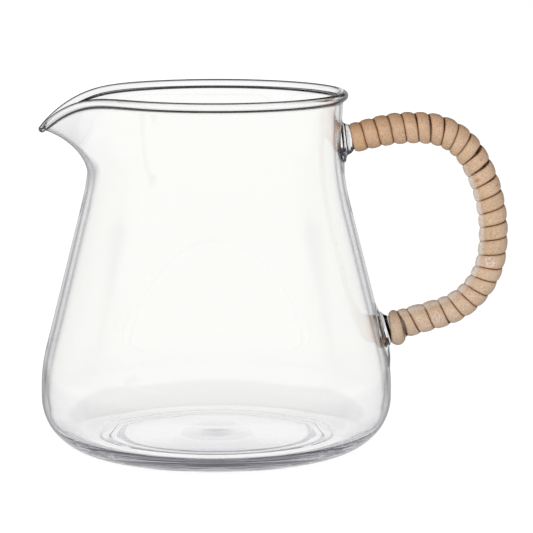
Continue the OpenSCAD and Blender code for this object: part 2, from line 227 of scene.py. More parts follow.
def skinned(name, rings):
    """A closed mesh over rings of points that all have the same count."""
    rings = np.asarray(rings)
    rows, count = rings.shape[:2]
    verts = [tuple(p) for p in (rings.reshape(-1, 3) * MM)]
    faces = []
    for j in range(rows - 1):
        for i in range(count):
            a, b = j * count + i, j * count + (i + 1) % count
            faces.append((a, b, b + count, a + count))
    faces.append(tuple(range(count))[::-1])
    faces.append(tuple((rows - 1) * count + i for i in range(count)))
    mesh = bpy.data.meshes.new(name)
    mesh.from_pydata(verts, [], faces)
    piece = bpy.data.objects.new(name, mesh)
    bpy.context.scene.collection.objects.link(piece)
    return piece


def read_points(piece):
    out = np.empty(len(piece.data.vertices) * 3)
    piece.data.vertices.foreach_get("co", out)
    return out.reshape(-1, 3) / MM


def write_points(piece, points):
    piece.data.vertices.foreach_set("co", (points * MM).ravel())
    piece.data.update()


def from_lip(points):
    """Distance from the axis, and angle from the lip."""
    return np.hypot(points[:, 0], points[:, 1]), np.arctan2(-points[:, 1], -points[:, 0])


def fused(piece, others):
    """Joins other closed pieces to this one as one solid."""
    for other in others:
        one_only(piece)
        mod = piece.modifiers.new("fuse", "BOOLEAN")
        mod.operation, mod.solver, mod.object = "UNION", "EXACT", other
        bpy.ops.object.modifier_apply(modifier=mod.name)
        bpy.data.objects.remove(other)


def directions(line):
    way = np.gradient(line, axis=0)
    return way / np.linalg.norm(way, axis=1, keepdims=True)


def outward(way):
    """Square to a direction that climbs the wall, away from the axis."""
    return np.stack([way[..., 1], -way[..., 0]], axis=-1)


def faded(depth, width):
    """Grows from 0 at a border to 1 at a width inside it."""
    return np.clip(depth / width, 0, 1)


# ---------------------------------------------------------------- outline of the vessel
LEAN_WAY = np.array([math.sin(math.radians(LEAN)), math.cos(math.radians(LEAN))])


def floor_z(r):
    rise = FLOOR_T + FLOOR_RISE * (1 - (r / FLOOR_EDGE) ** 2)
    return rise + (SWELL_RISE * (1 + math.cos(math.pi * r / SWELL_R)) / 2 if r < SWELL_R else 0)


def neck_line(offset, z_from, z_to, rows):
    """The cone and the neck, moved inwards by an offset, between two heights on the outside."""
    centre_r, centre_z, bend_r = NECK
    taper = math.radians(TAPER)
    knee = centre_z - bend_r * math.sin(taper)
    line = []
    for z in np.linspace(z_from, z_to, rows + 1):
        lean = min(math.asin(min(1.0, max(0.0, (centre_z - z) / bend_r))), taper)
        r = centre_r - bend_r * math.cos(lean) + max(0.0, knee - z) * math.tan(taper)
        line.append((r - offset * math.cos(lean), z - offset * math.sin(lean)))
    return line


def upright_wall():
    """Middle line of the upright wall, from below the lip to under the bead."""
    rows = neck_line(RIM_WALL / 2, WALL_FOOT, LEAN_Z, NECK_ROWS)
    x, z = rows[-1]
    turn = np.radians(np.linspace(0, LEAN, LEAN_ROWS + 1)[1:])
    rows += [(x + LEAN_R * (1 - math.cos(t)), z + LEAN_R * math.sin(t)) for t in turn]
    last = np.array(rows[-1])
    reach = np.linspace(0.0, WALL_END - last[1], LEAN_ROWS + 1)[1:]
    rows += [tuple(last + LEAN_WAY * d) for d in reach]
    return np.array(rows)


WALL_ROWS = upright_wall()
RIM_END = WALL_ROWS[-1]
# How far each row has climbed from the root of the lip to the rim
CLIMB = np.clip((WALL_ROWS[:, 1] - LIP_ROOT_Z) / (RIM_END[1] - LIP_ROOT_Z), 0, 1)


def bead_line():
    """The rolled edge, as distances along the wall's end and across it, from the inside to the outside."""
    middle = np.array(BEAD) - RIM_END
    u, v = middle @ LEAN_WAY, middle @ outward(LEAN_WAY)
    # The inside of the wall runs straight onto the bead, and the outside meets it from below.
    start = -math.pi + math.asin(min(1.0, (RIM_WALL / 2 + v) / BEAD_R))
    end = math.pi - math.asin((RIM_WALL / 2 - v) / BEAD_R)
    a = np.linspace(start, end, BEAD_POINTS)
    return np.stack([u + BEAD_R * np.cos(a), v + BEAD_R * np.sin(a)], axis=1)


ROLL = bead_line()


def lip_share(a):
    """Share of the lip's reach at an angle from its middle, in degrees."""
    a = np.abs(a)
    return np.where(a < LIP_SPAN, np.exp(-(a / LIP_TAPER) ** LIP_BELL) * (1 - (a / LIP_SPAN) ** 2), 0.0)


def drawn_wall(share):
    """The wall's middle line, drawn out and down by a share of the lip."""
    reach = LIP_REACH * share ** LIP_PULL * CLIMB ** LIP_FLARE
    drop = LIP_DROP * share ** LIP_CURL * CLIMB ** LIP_SAG
    return WALL_ROWS + np.stack([reach, -drop], axis=1)


def wall_section(share):
    """Inside from below up to the rim, the bead, and the outside down again."""
    line = drawn_wall(share)
    way = directions(line)
    out = outward(way)
    # Drawn glass is thinner: the wall and its bead shrink towards the tip of the lip.
    thin = 1 - TIP_THINNING * share ** 2 * CLIMB
    half = (RIM_WALL / 2 * thin)[:, None]
    bead = line[-1] + (ROLL[:, :1] * way[-1] + ROLL[:, 1:] * out[-1]) * thin[-1]
    section = np.concatenate([line - out * half, bead, (line + out * half)[::-1]])
    # The corners where the bead meets the wall are melted.
    first, last = len(line), len(line) + len(bead)
    corners = np.array([first - 2, first - 1, first, last - 1, last, last + 1])
    for _ in range(MELTING_ROUNDS):
        middle = (section[corners - 1] + section[corners + 1]) / 2
        section[corners] = section[corners] * 0.5 + middle * 0.5
    return section


def vessel_outline():
    """The whole outline, from the middle of the floor over the rim to the middle of the underside."""
    floor = [(r, floor_z(r)) for r in np.linspace(0, FLOOR_EDGE, FLOOR_POINTS)[:-1]]
    floor += [(FLOOR_EDGE - GROOVE_TOP, floor_z(FLOOR_EDGE - GROOVE_TOP)),
              (FLOOR_EDGE - GROOVE_FOOT, FLOOR_T - GROOVE_DEPTH)]
    turn = np.radians(np.linspace(-90, 0, HEEL_POINTS))
    inside, rise = BELLY[0] + BELLY[2] - WALL - FLOOR_EDGE, BELLY[1] - FLOOR_T
    heel_in = [(FLOOR_EDGE + inside * math.cos(t) ** (2 / HEEL_SQUARE),
                FLOOR_T + rise * (1 - (-math.sin(t)) ** (2 / HEEL_SQUARE))) for t in turn[:-1]]
    belly_in = arc(*BELLY[:2], BELLY[2] - WALL, 0, TAPER, BELLY_STEPS_IN)
    cone_in = neck_line(WALL, *CONE_INSIDE)
    cone_out = [p for length in CONE_OUTSIDE for p in neck_line(0.0, *length)]
    belly_out = arc(*BELLY, TAPER, 0, BELLY_STEPS)
    heel_out = arc(WIDEST_R - HEEL_R, HEEL_R, HEEL_R, 0, -90, HEEL_STEPS)
    punt = [(PUNT_EDGE + across, up) for across, up in RING_STEPS]
    punt += [(PUNT_RIM + across, PUNT_STEP + up) for across, up in DOME_STEPS]
    punt += [(r, PUNT_STEP + (PUNT_RISE - PUNT_STEP) * (1 - (r / PUNT_RIM) ** 2))
             for r in np.linspace(PUNT_RIM, 0, PUNT_POINTS)]
    parts = [floor, heel_in, belly_in, cone_in, wall_section(0.0), cone_out, belly_out[:-1], heel_out, punt]
    return [tuple(p) for part in parts for p in part]


# ---------------------------------------------------------------- centre line of the handle
def rod_lines():
    """The rod's lengths, straight and bent: distance, place, heading and curvature where each starts."""
    p, h, s = np.array(ROD_START), math.radians(RISE), 0.0
    lines = [(s, p.copy(), h, 0.0)]
    p = p + LEAD * np.array([math.cos(h), math.sin(h)])
    s += LEAD
    for r, turn in BENDS:
        lines.append((s, p.copy(), h, 1 / r))
        n = h - math.radians(turn)
        p = p + r * np.array([math.sin(h) - math.sin(n), math.cos(n) - math.cos(h)])
        s += r * math.radians(turn)
        h = n
    lines.append((s, p.copy(), h, 0.0))
    return lines


ROD_LINES = rod_lines()
ROD_L = ROD_LINES[-1][0] + END_RUN


def rod_at(s):
    """Place and heading on the centre line, at a distance from the neck."""
    start, p, h, bend = [part for part in ROD_LINES if part[0] <= max(s, 0.0)][-1]
    d = s - start
    if not bend:
        return p[0] + d * math.cos(h), p[1] + d * math.sin(h), h
    n = h - d * bend
    return p[0] + (math.sin(h) - math.sin(n)) / bend, p[1] + (math.cos(n) - math.cos(h)) / bend, n


def rod_point(s, a, r):
    """Point at a distance r from the centre line, turned by a round it from the outside of its bends."""
    x, z, h = rod_at(s)
    return x - r * math.cos(a) * math.sin(h), -r * math.sin(a), z + r * math.cos(a) * math.cos(h)


def length_of_rod(name, start, end, rings, sides, r=ROD_R):
    around = np.linspace(0, math.tau, sides, endpoint=False)
    piece = skinned(name, [[rod_point(s, a, r) for a in around] for s in np.linspace(start, end, rings)])
    settle(piece)
    return piece


# ---------------------------------------------------------------- the glass vessel
OUTSIDE = np.concatenate([arc(*BELLY, 0, TAPER, OUTSIDE_BELLY_STEPS), neck_line(0.0, *OUTSIDE_CONE)])


def turned(piece, measure):
    """Works on the piece's points as radius, angle from the lip and height."""
    points = read_points(piece)
    r, a, z = measure(*from_lip(points), points[:, 2].copy())
    write_points(piece, np.stack([-r * np.cos(a), -r * np.sin(a), z], axis=1))


def crowd_columns(r, a, z):
    """Brings the columns closer together at the lip and at the handle."""
    return r, a - COLUMN_CROWDING * np.sin(2 * a), z


def draw_lip(r, a, z):
    """Draws the rim out and down into the lip, each column by its share."""
    rest = wall_section(0.0)
    upper = np.flatnonzero(z > WALL_FOOT - WALL)
    off = np.hypot(rest[None, :, 0] - r[upper, None], rest[None, :, 1] - z[upper, None])
    match, near = off.argmin(axis=1), off.min(axis=1) < SAME_POINT
    degrees = np.round(np.degrees(a[upper]), 3)
    for angle in np.unique(degrees):
        if abs(angle) < LIP_SPAN:
            here = np.flatnonzero((degrees == angle) & near)
            section = wall_section(float(lip_share(angle)))
            r[upper[here]] = section[match[here], 0]
            z[upper[here]] = section[match[here], 1]
    return r, a, z


def run_glass(r, a, z):
    """The glass that has run on the wall round the roots of the handle."""
    across = (a - np.sign(a) * math.pi) * r
    outer = r > np.interp(z, OUTSIDE[:, 1], OUTSIDE[:, 0]) - SKIN
    for middle, width, up, down, square, soft, thick, (low, high) in RUN_GLASS:
        v, w = across / width, np.where(z > middle, (z - middle) / up, (middle - z) / down)
        pad = np.clip(1 - (v * v + w * w) ** square, 0, 1) ** soft
        r = r + np.where(outer & (z > low) & (z < high), thick * pad, 0.0)
    return r, a, z


def root_form(name, outline, place, heading):
    """A round foot of glass, spun and then set on the rod's line."""
    piece = spun(name, outline, ROOT_COLUMNS)
    turn = Matrix.Translation(Vector((place[0] * MM, 0, place[1] * MM)))
    turn = turn @ Matrix.Rotation(math.pi / 2 - heading, 4, "Y")
    piece.data.transform(turn)
    return piece


def make_vessel():
    vessel = spun("glass_vessel", vessel_outline(), VESSEL_COLUMNS)
    turned(vessel, crowd_columns)
    turned(vessel, draw_lip)
    turned(vessel, run_glass)

    # Each root holds a stub of the rod, which ends under the first or the last turns of cane.
    upper_place = (ROD_START[0], ROD_START[1] + COLLAR_LIFT)
    upper = root_form("upper_foot", COLLAR, upper_place, math.radians(RISE) / 2)
    upper_stub = length_of_rod("upper_stub", *UPPER_STUB, STUB_RINGS, STUB_SIDES)
    x, z, heading = rod_at(ROD_L)
    lower = root_form("lower_foot", FOOT, (x, z), heading + math.pi)
    lower_stub = length_of_rod("lower_stub", ROD_L + LOWER_STUB[0], ROD_L + LOWER_STUB[1],
                               STUB_RINGS, STUB_SIDES)

    fused(vessel, [upper, upper_stub, lower, lower_stub])
    settle(vessel, VESSEL_SHARP)
    mark_zones(vessel)
    return vessel


# Parts of the glass with painted reflection lines of their own: where each ends and over how much it fades,
# the bead in its own radii, the rest in degrees from the lip or in millimetres of height
BEAD_ZONE, BEAD_FADE = 1.45, 0.3
ROOT_ZONE, ROOT_FADE = 166, 6
HEEL_ZONE, HEEL_FADE = 20, 7
LIP_ZONE, LIP_FADE = 30, 10
LIP_ZONE_Z, LIP_FADE_Z = 66, 6
LOOK_FROM_FRONT = np.array([0.0, 0.979, -0.204])
LEAST_CROSSING = 0.14
HALF_DEGREES = np.linspace(0, 180, 361)


def bead_middles(angles):
    """Middle of the rolled edge at angles from the lip, as distance from the axis and height."""
    u, v = ROLL.mean(axis=0)
    rows = []
    for share in lip_share(angles):
        line = drawn_wall(float(share))
        way = directions(line)[-1]
        rows.append(line[-1] + (u * way + v * outward(way)) * (1 - TIP_THINNING * share ** 2))
    return np.array(rows)


def mark_zones(piece):
    """Marks the rolled edge, the heel with the bead's end at the handle, and the lip for their own painted
    reflection lines.
    """
    points = read_points(piece)
    r, a = from_lip(points)
    angle, z = np.degrees(np.abs(a)), points[:, 2]
    rows = bead_middles(HALF_DEGREES)
    # How far the rolled edge, seen from the front, runs across the view rather than along it
    turn = np.radians(HALF_DEGREES)
    run = directions(np.stack([-rows[:, 0] * np.cos(turn), -rows[:, 0] * np.sin(turn), rows[:, 1]], axis=1))
    crossing = np.sqrt(1 - np.clip(run @ LOOK_FROM_FRONT, -1, 1) ** 2).clip(LEAST_CROSSING, 1)
    off = np.hypot(r - np.interp(angle, HALF_DEGREES, rows[:, 0]),
                   z - np.interp(angle, HALF_DEGREES, rows[:, 1]))
    bead = faded(BEAD_R * BEAD_ZONE - off, BEAD_R * BEAD_FADE)
    end = faded(angle - ROOT_ZONE, ROOT_FADE)
    heel = faded(HEEL_ZONE - z, HEEL_FADE)
    lip = faded(LIP_ZONE - angle, LIP_FADE) * faded(z - LIP_ZONE_Z, LIP_FADE_Z)
    layer = piece.data.attributes.new("zones", "FLOAT_COLOR", "POINT")
    zones = np.stack([bead * (1 - end), np.maximum(bead * end, heel), lip,
                      np.interp(angle, HALF_DEGREES, crossing)], axis=1)
    layer.data.foreach_set("color", zones.ravel())


def make_rod():
    """The bent rod, from under the first turn to under the last."""
    start, end = UPPER_STUB[1] - STUB_LAP, ROD_L + (LOWER_STUB[0] + STUB_LAP)
    return length_of_rod("glass_rod", start, end, ROD_RINGS, ROD_SIDES, ROD_R - ROD_SLACK)


# ---------------------------------------------------------------- the wound strip of cane
EDGE_TURNS = np.arange(-1.0, 27.0, 0.5)
EDGE_PLACES = np.array([s for pair in (FIRST_EDGE, *zip(OUTER_MARKS, INNER_MARKS), LAST_EDGE) for s in pair])
EASING = np.array([-0.2, -0.1, 0.0, 0.1, 0.2])
# Places across the strip, closer together towards its edges
ACROSS = np.sin(np.linspace(-1, 1, 17) * math.pi / 2 * 0.999)


def edge_at(u):
    """Place along the rod of the edge between two turns, after u turns, as a smooth line."""
    return float(np.mean(np.interp(u + EASING, EDGE_TURNS, EDGE_PLACES)))


def opening(u):
    return sum(width * math.exp(-((u - t) / spread) ** 2) for t, width, spread in OPENINGS)


def strip_ring(mid, half, angle, seat, thick, crown, under):
    """One section of the strip: its crowned face from edge to edge, then its underside on the rod."""
    edge, rise, square = crown
    ring = [rod_point(mid + half * q, angle, seat + thick * (edge + rise * (1 - abs(q) ** square)))
            for q in ACROSS]
    return ring + [rod_point(mid + half * q, angle, seat) for q in under]


def laid_strip(name, rings, turns, under):
    """Skins the strip, and keeps its turns and the place across it in a map of its own, for its grain."""
    piece = skinned(name, rings)
    settle(piece, STRIP_SHARP, weld=False)
    places = [*ACROSS, *under]
    turns, sides = np.repeat(turns, len(places)), np.tile(places, len(rings))
    layer = piece.data.uv_layers.new(name="strip")
    index = np.empty(len(piece.data.loops), dtype=np.int32)
    piece.data.loops.foreach_get("vertex_index", index)
    layer.data.foreach_set("uv", np.stack([turns[index], sides[index]], axis=1).ravel())
    return piece


def make_cane():
    """All 27 turns as one strip, each turn's edge following the one before."""
    turns = np.arange(*CANE_TURNS, 1 / RINGS_PER_TURN)
    rings = []
    for u in turns:
        low = max(edge_at(u - 1) + CANE_GAP + opening(u - 1) / 2, CANE_ENDS[0])
        high = min(edge_at(u) - CANE_GAP - opening(u) / 2, CANE_ENDS[1])
        mid, half = (low + high) / 2, max((high - low) / 2, LEAST_HALF_WIDTH)
        thick = float(np.interp(u, THICK_AT, THICKNESS)) * min(1.0, NARROW_SHARE + half / FULL_WIDTH)
        rings.append(strip_ring(mid, half, math.tau * u, ROD_R + CANE_SEAT, thick, CANE_CROWN, CANE_UNDER))
    return laid_strip("cane_strip", rings, turns, CANE_UNDER)


def make_tail():
    """The doubled last turn, which holds the tucked end of the strip."""
    turns, rings = [], []
    for k in range(TAIL_STEPS + 1):
        a = math.radians(TAIL_START + TAIL_SWEEP * k / TAIL_STEPS)
        inside = (1 - math.cos(a)) / 2
        low = TAIL_LOW + TAIL_LOW_SHIFT * inside - TAIL_BULGE * max(0.0, math.sin(a)) ** 2 * inside
        high = TAIL_HIGH - TAIL_HIGH_SHIFT * inside
        fade = min(1.0, (k + TAIL_TIP) / TAIL_FADE, (TAIL_STEPS + TAIL_TIP - k) / TAIL_FADE)
        thick = fade * (TAIL_THICK + TAIL_SWELL * math.cos(a))
        rings.append(strip_ring((low + high) / 2, (high - low) / 2, a, ROD_R + TAIL_SEAT, thick, TAIL_CROWN,
                                TAIL_UNDER))
        turns.append(TAIL_TURN + k / TAIL_GRAIN)
    return laid_strip("cane_end", rings, turns, TAIL_UNDER)


# ---------------------------------------------------------------- finishes
class Nodes:
    """Short calls for the nodes and links of one node tree."""

    def __init__(self, owner):
        owner.use_nodes = True
        self.owner, self.tree = owner, owner.node_tree
        self.tree.nodes.clear()

    def node(self, kind, inputs=None, **settings):
        node = self.tree.nodes.new(kind)
        for key, value in settings.items():
            setattr(node, key, value)
        for key, value in (inputs or {}).items():
            socket = node.inputs[key]
            if isinstance(value, bpy.types.NodeSocket):
                self.tree.links.new(value, socket)
            else:
                socket.default_value = value
        return node

    def math(self, operation, a, b=0.0, clamp=False):
        return self.node("ShaderNodeMath", {0: a, 1: b}, operation=operation, use_clamp=clamp).outputs[0]

    def times(self, first, *others):
        for other in others:
            first = self.math("MULTIPLY", first, other)
        return first

    def past(self, value, start, gain):
        """Grows from 0, where the value passes the start, to 1."""
        return self.math("MULTIPLY", self.math("SUBTRACT", value, start), gain, clamp=True)

    def short_of(self, value, end, gain):
        """Falls from 1 to 0, where the value reaches the end."""
        return self.math("MULTIPLY", self.math("SUBTRACT", end, value), gain, clamp=True)

    def ramp(self, value, stops):
        """Colours between stops, where a stop is a place and a colour or a grey."""
        node = self.node("ShaderNodeValToRGB", {0: value})
        band = node.color_ramp
        while len(band.elements) < len(stops):
            band.elements.new(0.5)
        for element, (place, colour) in zip(band.elements, stops):
            element.position = place
            element.color = (*colour, 1.0) if isinstance(colour, tuple) else (colour, colour, colour, 1.0)
        return node.outputs["Color"]

    def mixed(self, share, first, second, blend="MIX"):
        return self.node("ShaderNodeMix", {0: share, 6: first, 7: second}, data_type="RGBA",
                         blend_type=blend).outputs[2]

    def toned(self, colour, tone):
        return self.mixed(1.0, colour, tone, "MULTIPLY")

    def either(self, share, first, second):
        return self.node("ShaderNodeMixShader", {0: share, 1: first.outputs[0], 2: second.outputs[0]})

    def part(self, vector, axis):
        return self.node("ShaderNodeSeparateXYZ", {0: vector}).outputs[axis]

    def upward(self):
        return self.part(self.node("ShaderNodeNewGeometry").outputs["Normal"], "Z")

    def place(self):
        return self.node("ShaderNodeTexCoord").outputs["Object"]

    def noise(self, vector, scale, detail=2.0, roughness=0.5):
        return self.node("ShaderNodeTexNoise", {"Vector": vector, "Scale": scale, "Detail": detail,
                                                "Roughness": roughness}).outputs["Fac"]


def finish(name):
    return Nodes(bpy.data.materials.new(name))


# Tints of the glass, with painted reflection lines near edge-on, by how far it turns away from the eye, from
# 0 facing it to 1 edge-on
EDGE_PAINTED_LINES = ((0.0, (0.998, 1.0, 0.985)), (0.5, (0.994, 0.996, 0.98)), (0.66, (0.96, 0.96, 0.95)),
             (0.71, 0.88), (0.75, (0.60, 0.60, 0.61)), (0.78, (0.15, 0.15, 0.17)),
             (0.81, (0.15, 0.15, 0.17)), (0.85, (0.60, 0.60, 0.61)), (0.89, (0.72, 0.72, 0.73)),
             (0.94, (0.42, 0.42, 0.44)), (1.0, (0.30, 0.30, 0.32)))
HEEL_PAINTED_LINES = ((0.0, (0.999, 1.0, 0.997)), (0.76, 0.98), (0.82, (0.55, 0.55, 0.57)),
             (0.855, (0.06, 0.06, 0.07)), (0.90, (0.05, 0.05, 0.06)), (0.94, (0.18, 0.18, 0.20)),
             (1.0, (0.40, 0.40, 0.42)))
LIP_PAINTED_LINES = ((0.64, 1.0), (0.73, (0.36, 0.36, 0.39)), (0.83, (0.15, 0.15, 0.18)), (0.89, 0.02), (1.0, 0.0))
BEAD_TOP_PAINTED_LINE = ((0.17, 1.0), (0.28, (0.17, 0.165, 0.17)), (0.42, (0.04, 0.04, 0.045)),
                 (1.0, (0.03, 0.03, 0.035)))
BEAD_FOOT_PAINTED_LINE = ((0.13, 1.0), (0.21, (0.12, 0.10, 0.10)), (0.27, 0.0), (1.0, 0.0))
FLAT_TINT = (0.998, 1.0, 0.99, 1)
LEVEL, LEVEL_GAIN = 0.84, 10.0      # upward part of the normal from which glass counts as level
TOP_GAIN = 4.0
GLASS_IOR = 1.5
GLASS_SHADOW = (0.93, 0.94, 0.94, 1)
BODY_COLOUR, BODY_DENSITY = (0.30, 0.28, 0.42, 1), 10.0


def clear_glass():
    f = finish("clear_glass")
    edge = f.node("ShaderNodeLayerWeight", {"Blend": 0.5}).outputs["Facing"]
    marks = f.node("ShaderNodeAttribute", attribute_name="zones")
    zones = f.node("ShaderNodeSeparateColor", {0: marks.outputs["Color"]})
    upward = f.upward()

    # The rolled edge has a painted reflection: a grey line above and a black one below, thin also where it
    # runs across the view.
    turned_off = f.math("DIVIDE", f.math("SUBTRACT", 1.0, edge), marks.outputs["Alpha"])
    round_edge = f.math("SUBTRACT", 1.0, turned_off, clamp=True)
    top_share = f.math("ADD", f.times(upward, TOP_GAIN), 0.5, clamp=True)
    bead_painted_lines = f.mixed(top_share, f.ramp(round_edge, BEAD_FOOT_PAINTED_LINE), f.ramp(round_edge, BEAD_TOP_PAINTED_LINE))

    # Painted reflection lines: dark bands in the glass colour where it turns edge-on, darker at the heel.
    tint_with_painted_lines = f.mixed(zones.outputs["Green"], f.ramp(edge, EDGE_PAINTED_LINES), f.ramp(edge, HEEL_PAINTED_LINES))
    # The floor and the underside lie level and stay clear. The lip and the bead have painted reflection lines
    # all over.
    tint_with_painted_lines = f.mixed(f.past(f.math("ABSOLUTE", upward), LEVEL, LEVEL_GAIN), tint_with_painted_lines, FLAT_TINT)
    tint_with_painted_lines = f.mixed(zones.outputs["Blue"], tint_with_painted_lines, f.ramp(edge, LIP_PAINTED_LINES))
    tint_with_painted_lines = f.mixed(zones.outputs["Red"], tint_with_painted_lines, bead_painted_lines)

    glass = f.node("ShaderNodeBsdfPrincipled", {
        "Base Color": tint_with_painted_lines, "Roughness": 0.0, "IOR": GLASS_IOR, "Transmission Weight": 1.0})
    shadow = f.node("ShaderNodeBsdfTransparent", {"Color": GLASS_SHADOW})
    both = f.either(f.node("ShaderNodeLightPath").outputs["Is Shadow Ray"], glass, shadow)
    body = f.node("ShaderNodeVolumeAbsorption", {"Color": BODY_COLOUR, "Density": BODY_DENSITY})
    f.node("ShaderNodeOutputMaterial", {"Surface": both.outputs[0], "Volume": body.outputs[0]})
    return f.owner


CANE_BARK = ((0.0, (0.60, 0.375, 0.215)), (0.05, (0.61, 0.395, 0.25)), (0.3, (0.625, 0.43, 0.285)),
             (0.6, (0.63, 0.445, 0.30)), (1.0, (0.66, 0.49, 0.36)))
CANE_LENGTH = 26.0                  # turns
GRAIN_TONES = ((0.36, (0.74, 0.70, 0.65)), (0.5, 1.0), (0.62, (1.16, 1.20, 1.24)))
CLOUD_TONES = ((0.35, (0.93, 0.91, 0.88)), (0.6, 1.03))
EDGE_SHADE_TONES = ((0.72, 1.0), (0.89, (0.87, 0.79, 0.71)), (0.945, (0.62, 0.49, 0.39)),
              (0.975, (0.24, 0.15, 0.10)), (1.0, (0.07, 0.035, 0.02)))
TOP_SHADE_TONES = ((0.25, 1.0), (0.95, (0.88, 0.80, 0.72)))
FIBRES_LONG, FIBRES_ACROSS = 26.0, 16.0
FIBRE_DETAIL, FIBRE_ROUGHNESS = 3.0, 0.6
FIBRE_SHARE, FLECK_SHARE = 0.55, 0.45
FLECK_SCALE, CLOUD_SCALE = 2600.0, 160.0
# Painted rim light: the pale colour laid on the inside of the bends.
RIM_LIGHT = (0.92, 0.86, 0.79, 1)
RIM_LIGHT_SHARE = 0.85
# Where the painted rim light falls, as values and gains: the cosine of the angle from the outside of the
# bends, the grain, the first turn and the last
RIM_LIGHT_SIDE, RIM_LIGHT_GRAIN = (-0.62, 4.0), (0.30, 4.0)
RIM_LIGHT_FIRST, RIM_LIGHT_LAST = (9.0, 0.4), (25.7, 2.0)
MOTTLE = (0.46, 9.0)
MARK_STRENGTH = 1.4
# Rough places and brown nodes on the face of the strip: turn, half length, half width and colour
FACE_MARKS = ((17.27, 0.1, 1.0, (0.78, 0.62, 0.56, 1)), (23.2, 0.09, 0.9, (0.76, 0.60, 0.54, 1)),
              (11.32, 0.045, 0.35, (0.36, 0.13, 0.06, 1)), (10.18, 0.03, 0.25, (0.40, 0.16, 0.08, 1)),
              (12.12, 0.03, 0.22, (0.42, 0.18, 0.10, 1)))
CANE_ROUGHNESS = 0.48
RELIEF, RELIEF_DEPTH, FLECK_RELIEF = 0.45, 0.00014, 0.5


def split_cane():
    f = finish("split_cane")
    strip = f.node("ShaderNodeUVMap", uv_map="strip").outputs["UV"]
    turn, side = f.part(strip, "X"), f.part(strip, "Y")
    place = f.place()

    # Fibres run along the strip: fine across it and long round the rod.
    run = f.node("ShaderNodeCombineXYZ", {0: f.times(turn, FIBRES_LONG), 1: f.times(side, FIBRES_ACROSS)})
    fibres = f.noise(run.outputs[0], 1.0, FIBRE_DETAIL, FIBRE_ROUGHNESS)
    fleck = f.noise(place, FLECK_SCALE)
    grain = f.math("ADD", f.times(fibres, FIBRE_SHARE), f.times(fleck, FLECK_SHARE))
    colour = f.ramp(f.math("DIVIDE", turn, CANE_LENGTH), CANE_BARK)
    colour = f.toned(colour, f.ramp(grain, GRAIN_TONES))
    colour = f.toned(colour, f.ramp(f.noise(place, CLOUD_SCALE), CLOUD_TONES))
    # Painted shade: the strip darkens towards its edges, where one turn meets the next.
    colour = f.toned(colour, f.ramp(f.math("ABSOLUTE", side), EDGE_SHADE_TONES))

    # Painted rim light: the strip is paler on the inside of the bends.
    inside = f.short_of(f.math("COSINE", f.times(turn, math.tau)), *RIM_LIGHT_SIDE)
    bent = f.times(f.past(turn, *RIM_LIGHT_FIRST), f.short_of(turn, *RIM_LIGHT_LAST))
    rim_light = f.times(inside, bent, f.past(grain, *RIM_LIGHT_GRAIN), RIM_LIGHT_SHARE)
    colour = f.mixed(rim_light, colour, RIM_LIGHT)

    mottle = f.past(fleck, *MOTTLE)
    for mark_turn, length, width, tone in FACE_MARKS:
        along = f.math("DIVIDE", f.math("SUBTRACT", turn, mark_turn), length)
        across = f.math("DIVIDE", side, width)
        far = f.math("ADD", f.times(along, along), f.times(across, across))
        near = f.math("SUBTRACT", 1.0, far, clamp=True)
        shown = f.math("MULTIPLY", f.times(near, mottle), MARK_STRENGTH, clamp=True)
        colour = f.mixed(shown, colour, tone)

    # Painted shade: faces that turn upwards are darker.
    colour = f.toned(colour, f.ramp(f.upward(), TOP_SHADE_TONES))
    height = f.math("ADD", fibres, f.times(fleck, FLECK_RELIEF))
    relief = f.node("ShaderNodeBump", {"Height": height, "Strength": RELIEF, "Distance": RELIEF_DEPTH})
    cane = f.node("ShaderNodeBsdfPrincipled", {"Base Color": colour, "Roughness": CANE_ROUGHNESS,
                                               "Normal": relief.outputs[0]})
    f.node("ShaderNodeOutputMaterial", {"Surface": cane.outputs[0]})
    return f.owner


# ---------------------------------------------------------------- the studio round the pitcher
PITCHER_MIDDLE = (0, 0, 0.05)
MIRROR_DIMMING = 0.45
ENTERED_ONCE = 2.5      # surfaces that light has passed when it has entered glass only once
THIN_GLASS, SOLID_GLASS = "thin", "solid"
# The floor's shade by distance from the pitcher, in quarters of a metre: through the vessel's thin wall, and
# through solid glass, which light enters once
SHADE_REACH = 0.25
SHADE = {THIN_GLASS: ((0.168, 0.98), (0.2, 0.95), (0.50, 0.98), (0.72, 1.0)),
         SOLID_GLASS: ((0.168, 1.0), (0.2, (0.62, 0.62, 0.63)), (0.54, (0.62, 0.62, 0.63)), (0.9, 1.0))}
FLOOR_SEEN, FLOOR_GREY, FLOOR_LIT = 0.88, 0.30, 0.8
FLOOR_R, FLOOR_Z = 1.1, -0.00005
FLOOR_BEHIND = 8.0      # growth per metre
# The room by height: white, and dark above. The white ends higher in front of the pitcher, and lower through
# solid glass.
ROOM = ((0.33, 1.0), (0.37, (0.35, 0.35, 0.38)), (0.42, (0.012, 0.012, 0.03)))
ROOM_LIGHT = (0.5, 0.5, 0.51, 1)
ROOM_BACK, ROOM_BACK_START = 2.5, 1.1
FRONT_RISE, SOLID_DROP = 0.18, 0.17
WHITE = (1, 1, 1, 1)


class Studio(Nodes):
    """Nodes of the floor or the room, which glass and the camera see in different ways."""

    def __init__(self, owner):
        super().__init__(owner)
        rays = self.node("ShaderNodeLightPath").outputs
        glossy, through = rays["Is Glossy Ray"], rays["Is Transmission Ray"]
        self.camera = rays["Is Camera Ray"]
        self.glassy = self.math("MAXIMUM", glossy, through)
        # A sharp ray that has passed through glass counts as glossy too.
        self.mirrored = self.math("SUBTRACT", glossy, through, clamp=True)
        self.once = self.math("LESS_THAN", rays["Transmission Depth"], ENTERED_ONCE)

    def dimmed(self, behind):
        """Strength at which glass mirrors what lies behind the pitcher."""
        return self.math("SUBTRACT", 1.0, self.times(behind, MIRROR_DIMMING, self.mirrored))

    def shown(self, plain, in_glass, to_camera):
        """What light, glass and the camera meet."""
        return self.either(self.camera, self.either(self.glassy, plain, in_glass), to_camera).outputs[0]


